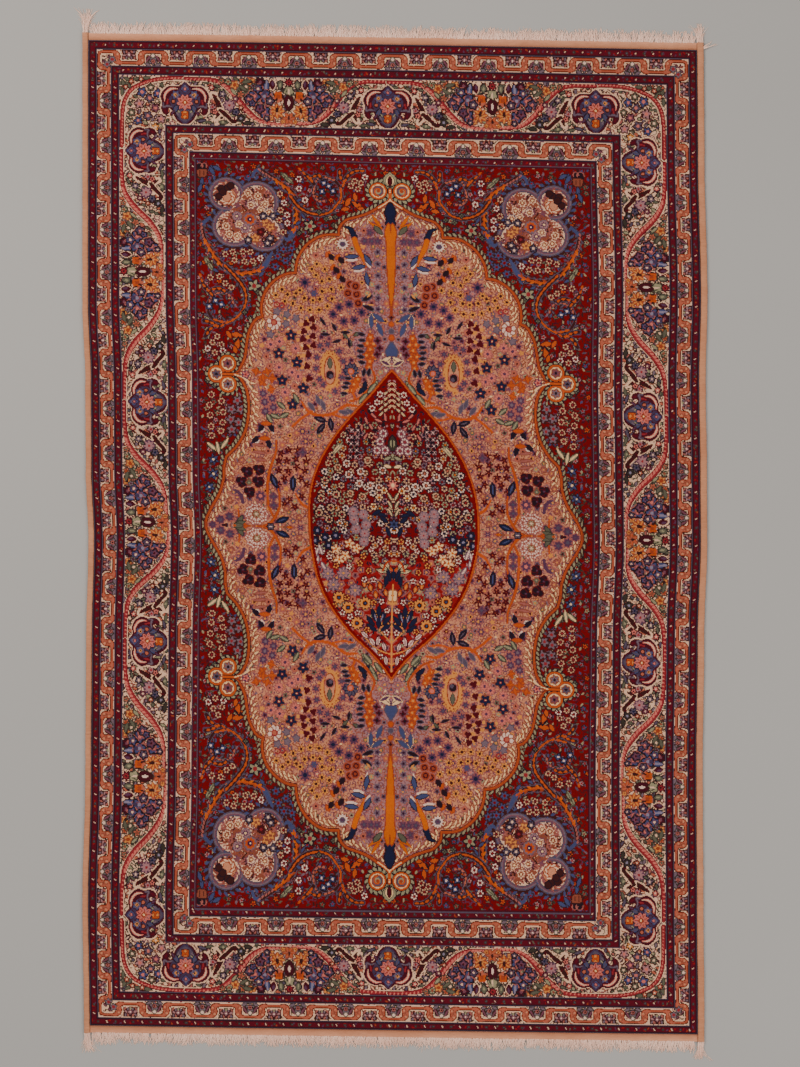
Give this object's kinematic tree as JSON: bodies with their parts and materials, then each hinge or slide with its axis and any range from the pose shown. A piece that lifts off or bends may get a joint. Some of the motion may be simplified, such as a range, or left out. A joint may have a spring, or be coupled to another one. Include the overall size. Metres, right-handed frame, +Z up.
{
  "type": "persian rug",
  "caption": "Hand-knotted wool pile rug lying flat, ivory borders round a crimson field with a pale scalloped medallion, wrapped side cords, flat-woven ends and cut warp fringe.",
  "frame": {"origin": "middle of the rug's footprint, on the floor it lies on", "axes": "+X across the rug along the wefts, +Y along the warps towards the end at the top of the pattern, +Z up out of the pile"},
  "size_m": [1.4088, 2.3684, 0.0084],
  "materials": {
    "knotted_wool": "matte clipped wool pile",
    "wrapped_wool": "matte wrapped wool",
    "cotton_warp": "matte twisted cotton"
  },
  "bodies": {
    "root": {"pile": "knotted_wool", "selvedge_left": "wrapped_wool", "selvedge_right": "wrapped_wool", "fringe_top": "cotton_warp", "fringe_bottom": "cotton_warp"}
  },
  "joints": []
}
